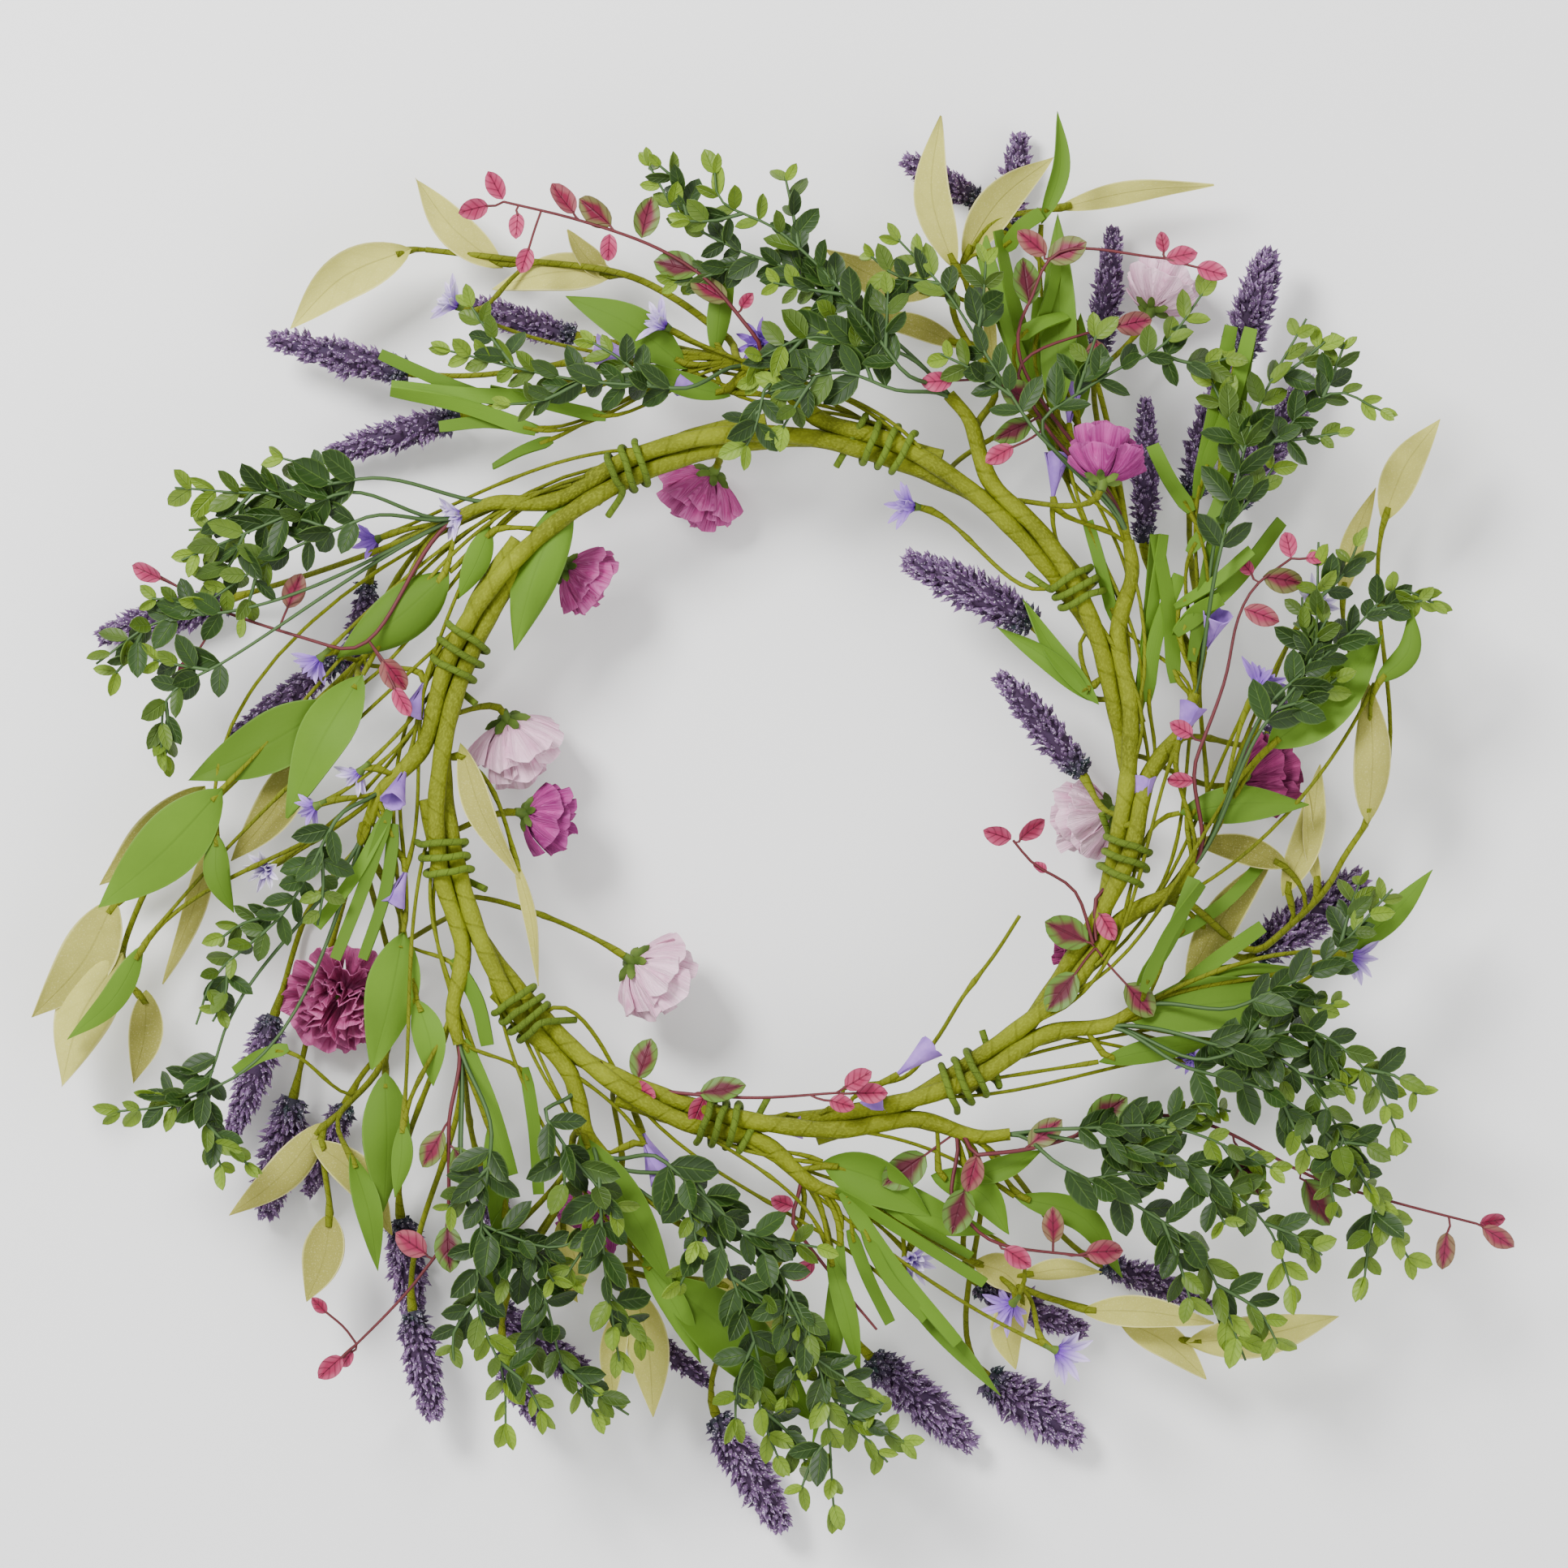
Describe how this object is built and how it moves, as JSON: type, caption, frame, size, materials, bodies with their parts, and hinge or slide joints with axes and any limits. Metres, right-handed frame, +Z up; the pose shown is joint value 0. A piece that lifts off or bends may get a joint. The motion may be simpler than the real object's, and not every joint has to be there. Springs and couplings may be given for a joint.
{
  "type": "wildflower wreath",
  "caption": "Round wreath of wrapped stems tied with wire, with sprays of leaves, lavender, small flowers and paper blooms sweeping one way round.",
  "frame": {"origin": "middle of the wreath's bounding box, on the surface it lies on", "axes": "+Z up out of the tied back of the wreath, away from the surface its face lies on; +Y towards the top of the picture, +X towards its right"},
  "size_m": [0.5493, 0.527, 0.0779],
  "materials": {
    "stem_and_leaf": "wrapped paper stems with matt green leaves, fused in one node",
    "tie_wire": "paper-wrapped wire, matt",
    "khaki_leaf": "matt, velvety",
    "boxwood_leaf": "dark green with a soft sheen",
    "lavender": "matt florets with a white dusting",
    "wine_leaf": "matt",
    "bloom_magenta": "crumpled paper, matt",
    "bloom_rose": "crumpled paper, matt",
    "bloom_wine": "crumpled paper, matt",
    "bloom_pink": "crumpled paper, matt"
  },
  "bodies": {
    "root": {"bloom_bottom_left": "bloom_rose", "bloom_inner_left": "bloom_pink", "bloom_inner_lower_left": "bloom_pink", "bloom_inner_right": "bloom_pink", "bloom_inner_top": "bloom_magenta", "bloom_left": "bloom_magenta", "bloom_right": "bloom_wine", "bloom_top_right": "bloom_pink", "bloom_upper_right": "bloom_rose", "boxwood_01": "boxwood_leaf", "boxwood_02": "boxwood_leaf", "boxwood_03": "boxwood_leaf", "boxwood_04": "boxwood_leaf", "boxwood_06": "boxwood_leaf", "boxwood_07": "boxwood_leaf", "boxwood_10": "boxwood_leaf", "boxwood_11": "boxwood_leaf", "khaki_00": "khaki_leaf", "khaki_01": "khaki_leaf", "khaki_02": "khaki_leaf", "khaki_04": "khaki_leaf", "khaki_05": "khaki_leaf", "khaki_08": "khaki_leaf", "khaki_11": "khaki_leaf", "lavender_00": "lavender", "lavender_01": "lavender", "lavender_02": "lavender", "lavender_03": "lavender", "lavender_04": "lavender", "lavender_05": "lavender", "lavender_06": "lavender", "lavender_08": "lavender", "lavender_09": "lavender", "lavender_10": "lavender", "lavender_inner_0": "lavender", "lavender_inner_1": "lavender", "pick_00": "stem_and_leaf", "pick_01": "stem_and_leaf", "pick_02": "stem_and_leaf", "pick_03": "stem_and_leaf", "pick_04": "stem_and_leaf", "pick_05": "stem_and_leaf", "pick_06": "stem_and_leaf", "pick_07": "stem_and_leaf", "pick_08": "stem_and_leaf", "pick_09": "stem_and_leaf", "pick_10": "stem_and_leaf", "pick_11": "stem_and_leaf", "tie_00": "tie_wire", "tie_01": "tie_wire", "tie_02": "tie_wire", "tie_03": "tie_wire", "tie_04": "tie_wire", "tie_05": "tie_wire", "tie_06": "tie_wire", "tie_07": "tie_wire", "tie_08": "tie_wire", "wine_00": "wine_leaf", "wine_06": "wine_leaf", "wine_10": "wine_leaf"}
  },
  "joints": []
}
